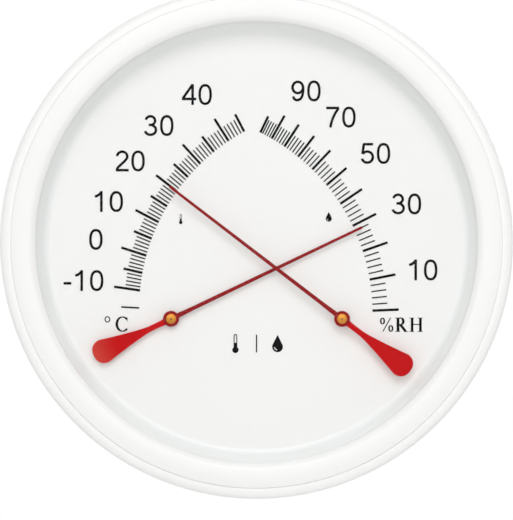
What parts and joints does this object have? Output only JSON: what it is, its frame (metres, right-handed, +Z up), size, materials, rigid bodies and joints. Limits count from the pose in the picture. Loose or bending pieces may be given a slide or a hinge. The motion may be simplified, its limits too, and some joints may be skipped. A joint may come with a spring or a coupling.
{
  "type": "wall thermo-hygrometer",
  "caption": "Round white wall instrument with crossed red pointers for temperature and humidity behind a flat glass, hung on a keyhole at the back.",
  "frame": {"origin": "centre of the case in the plane of the wall that its foot rests on", "axes": "+Y into the wall, -Y out of the dial towards the reader, +Z up the dial, +X to the reader's right"},
  "size_m": [0.23, 0.0312, 0.23],
  "materials": {
    "case_plastic": "gloss white moulded plastic",
    "bezel_plastic": "gloss white moulded plastic",
    "clear_glass": "clear float glass",
    "ring_plastic": "satin white moulded plastic",
    "dial_enamel": "off-white baked enamel on sheet aluminium",
    "scale_ink": "black screen print",
    "brass_sheet": "stamped sheet",
    "brass": "turned",
    "steel": "bright zinc plated",
    "bimetal": "rolled bimetal strip",
    "humidity_strip": "moisture-sensitive layer on metal foil",
    "pointer_paint": "gloss red paint on sheet aluminium"
  },
  "bodies": {
    "case": {"rear_case": "case_plastic", "bezel": "bezel_plastic", "lens": "clear_glass", "dial_ring": "ring_plastic", "dial_plate": "dial_enamel", "temperature_scale": "scale_ink", "humidity_scale": "scale_ink", "temperature_bridge": "brass_sheet", "temperature_bridge_screws": "steel", "temperature_friction_washer": "steel", "temperature_bearing_bush": "brass", "humidity_bridge": "brass_sheet", "humidity_bridge_screws": "steel", "humidity_friction_washer": "steel", "humidity_bearing_bush": "brass"},
    "temperature_regulator": {"temperature_regulator": "brass", "temperature_regulator_arm": "brass_sheet"},
    "temperature_pointer": {"temperature_arbor": "steel", "temperature_collet": "brass", "temperature_coil": "bimetal", "temperature_pointer": "pointer_paint", "temperature_pointer_hub": "brass"},
    "humidity_regulator": {"humidity_regulator": "brass", "humidity_regulator_arm": "brass_sheet"},
    "humidity_pointer": {"humidity_arbor": "steel", "humidity_collet": "brass", "humidity_coil": "humidity_strip", "humidity_pointer": "pointer_paint", "humidity_pointer_hub": "brass"}
  },
  "joints": [
    {"name": "temperature_trim", "type": "hinge", "parent": "case", "child": "temperature_regulator", "pos_m": [0.0385, -0.007, -0.0344], "axis": [0, 1, 0], "range_deg": [-5, 5]},
    {"name": "temperature_reading", "type": "hinge", "parent": "temperature_regulator", "child": "temperature_pointer", "pos_m": [0.0385, -0.0163, -0.0344], "axis": [0, 1, 0], "range_deg": [-34.4, 24.9], "stiffness_Nm_per_rad": 0.0096, "deforming": ["temperature_coil"]},
    {"name": "humidity_trim", "type": "hinge", "parent": "case", "child": "humidity_regulator", "pos_m": [-0.0385, -0.007, -0.0344], "axis": [0, -1, 0], "range_deg": [-1.2, 1.2]},
    {"name": "humidity_reading", "type": "hinge", "parent": "humidity_regulator", "child": "humidity_pointer", "pos_m": [-0.0385, -0.0163, -0.0344], "axis": [0, -1, 0], "range_deg": [-23.3, 38.7], "stiffness_Nm_per_rad": 0.0015, "deforming": ["humidity_coil"]}
  ]
}
